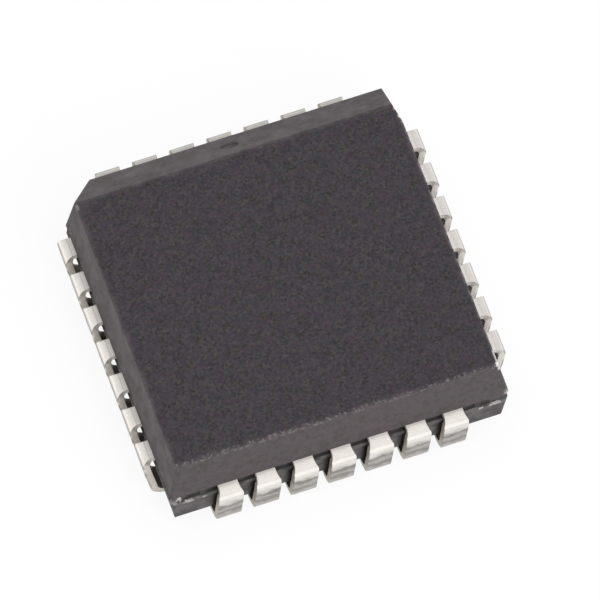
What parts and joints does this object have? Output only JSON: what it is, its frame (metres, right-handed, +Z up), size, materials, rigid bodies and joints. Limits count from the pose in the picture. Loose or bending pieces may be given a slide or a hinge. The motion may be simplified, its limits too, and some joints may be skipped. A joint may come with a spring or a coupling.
{
  "type": "plcc chip",
  "caption": "Square plastic chip carrier with J-shaped leads on all four sides, a bevelled pin 1 edge and a cut corner, soldered to a board or pressed into a socket.",
  "frame": {"origin": "middle of the package on the board plane, where the feet of the leads touch", "axes": "+Z up out of the board, +Y towards the pin 1 side, +X to the right seen from above with pin 1 at the top"},
  "size_m": [0.0124, 0.0124, 0.0044],
  "materials": {
    "mould_compound": "matt, fine spark-eroded grain on the top, smoother walls",
    "tin_plate": "satin tin-lead plate",
    "copper_frame": "plain copper alloy",
    "silver_epoxy": "matt",
    "silicon": "polished",
    "gold_wire": "bright gold"
  },
  "bodies": {
    "root": {"moulded_body": "mould_compound", "die_paddle": "copper_frame", "die_attach": "silver_epoxy", "silicon_die": "silicon", "lead_01": "tin_plate", "lead_02": "tin_plate", "lead_03": "tin_plate", "lead_04": "tin_plate", "lead_05": "tin_plate", "lead_06": "tin_plate", "lead_07": "tin_plate", "lead_08": "tin_plate", "lead_09": "tin_plate", "lead_10": "tin_plate", "lead_11": "tin_plate", "lead_12": "tin_plate", "lead_13": "tin_plate", "lead_14": "tin_plate", "lead_15": "tin_plate", "lead_16": "tin_plate", "lead_17": "tin_plate", "lead_18": "tin_plate", "lead_19": "tin_plate", "lead_20": "tin_plate", "lead_21": "tin_plate", "lead_22": "tin_plate", "lead_23": "tin_plate", "lead_24": "tin_plate", "lead_25": "tin_plate", "lead_26": "tin_plate", "lead_27": "tin_plate", "lead_28": "tin_plate", "bond_wire_01": "gold_wire", "bond_wire_02": "gold_wire", "bond_wire_03": "gold_wire", "bond_wire_04": "gold_wire", "bond_wire_05": "gold_wire", "bond_wire_06": "gold_wire", "bond_wire_07": "gold_wire", "bond_wire_08": "gold_wire", "bond_wire_09": "gold_wire", "bond_wire_10": "gold_wire", "bond_wire_11": "gold_wire", "bond_wire_12": "gold_wire", "bond_wire_13": "gold_wire", "bond_wire_14": "gold_wire", "bond_wire_15": "gold_wire", "bond_wire_16": "gold_wire", "bond_wire_17": "gold_wire", "bond_wire_18": "gold_wire", "bond_wire_19": "gold_wire", "bond_wire_20": "gold_wire", "bond_wire_21": "gold_wire", "bond_wire_22": "gold_wire", "bond_wire_23": "gold_wire", "bond_wire_24": "gold_wire", "bond_wire_25": "gold_wire", "bond_wire_26": "gold_wire", "bond_wire_27": "gold_wire", "bond_wire_28": "gold_wire"}
  },
  "joints": []
}
